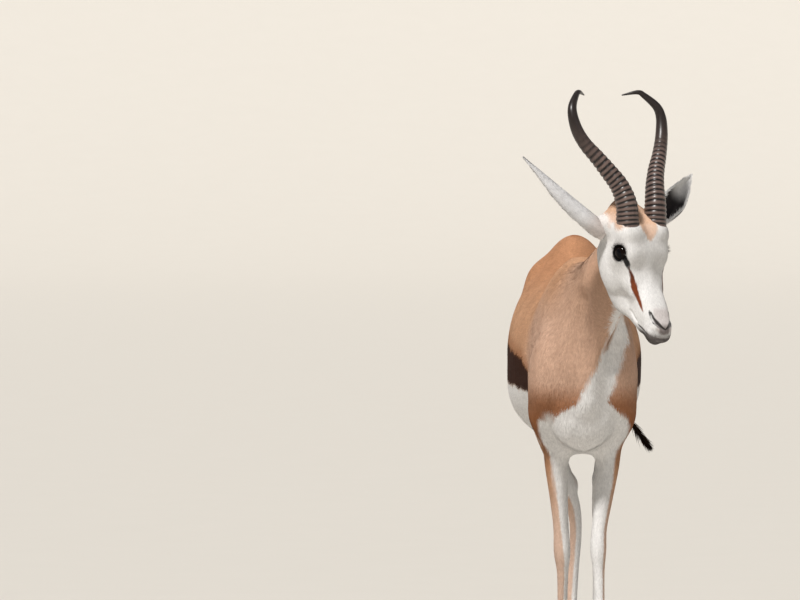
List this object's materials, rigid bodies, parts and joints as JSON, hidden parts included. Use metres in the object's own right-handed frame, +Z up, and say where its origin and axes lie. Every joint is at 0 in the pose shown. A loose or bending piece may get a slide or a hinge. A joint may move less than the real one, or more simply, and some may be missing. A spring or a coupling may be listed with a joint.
{
  "type": "springbok model",
  "caption": "Still life-size model of a walking springbok ram with lyre-shaped ringed horns, head turned to its left, standing on flat hoof soles.",
  "frame": {"origin": "on the floor, under the middle of the bounding box", "axes": "+X to the animal's left, +Y towards its tail, +Z up; the body faces -Y"},
  "size_m": [0.3316, 1.0622, 1.1042],
  "materials": {
    "fawn_coat": "short fawn coat, dark brown band on the flank, white belly",
    "white_coat": "short white coat with fawn and brown markings",
    "horn": "ringed dark horn, smooth and glossy at the tips",
    "eye": "wet dark brown eye",
    "hoof": "dark worn hoof, satin"
  },
  "bodies": {
    "root": {"trunk": "fawn_coat", "neck": "fawn_coat", "head": "white_coat", "tail": "white_coat", "horn_right": "horn", "ear_right": "white_coat", "eye_right": "eye", "horn_left": "horn", "ear_left": "white_coat", "eye_left": "eye", "foreleg_right_upper": "white_coat", "foreleg_right_lower": "white_coat", "foreleg_left_upper": "white_coat", "foreleg_left_lower": "white_coat", "hindleg_right_upper": "white_coat", "hindleg_right_lower": "white_coat", "hindleg_left_upper": "white_coat", "hindleg_left_lower": "white_coat", "hoof_front_right_inner": "hoof", "hoof_front_right_outer": "hoof", "hoof_front_left_inner": "hoof", "hoof_front_left_outer": "hoof", "hoof_hind_right_inner": "hoof", "hoof_hind_right_outer": "hoof", "hoof_hind_left_inner": "hoof", "hoof_hind_left_outer": "hoof"}
  },
  "joints": []
}
